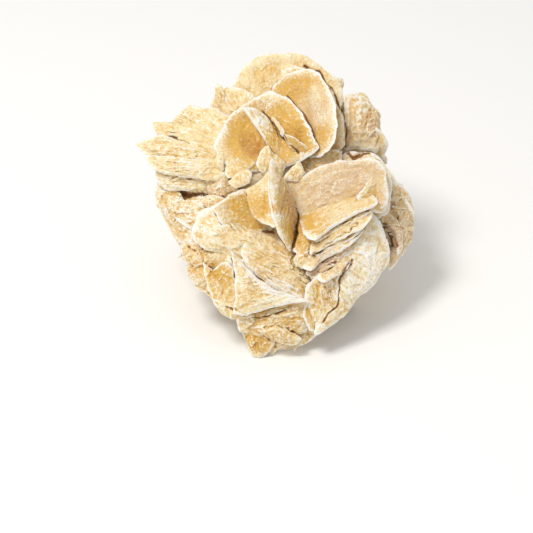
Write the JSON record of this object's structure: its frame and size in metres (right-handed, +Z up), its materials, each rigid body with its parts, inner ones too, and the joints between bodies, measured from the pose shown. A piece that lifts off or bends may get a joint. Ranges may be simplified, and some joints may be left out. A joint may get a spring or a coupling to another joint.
{
  "type": "gypsum sand rose",
  "caption": "Honey-coloured sand rose: lens-shaped gypsum crystals with sand grains in them, grown through each other into one cluster that rests on worn flats.",
  "frame": {"origin": "the point under the middle of the rose's box, at the level of the worn flats that it rests on", "axes": "+Z up, -Y towards the front, where the face with the large crown petal leans back; +X to the right as seen from the front, along its widest extent"},
  "size_m": [0.0988, 0.0936, 0.0827],
  "materials": {
    "gypsum": "frosted and sugary gypsum, honey-coloured in the hollows, paler on the rims"
  },
  "bodies": {
    "root": {"sand_rose": "gypsum"}
  },
  "joints": []
}
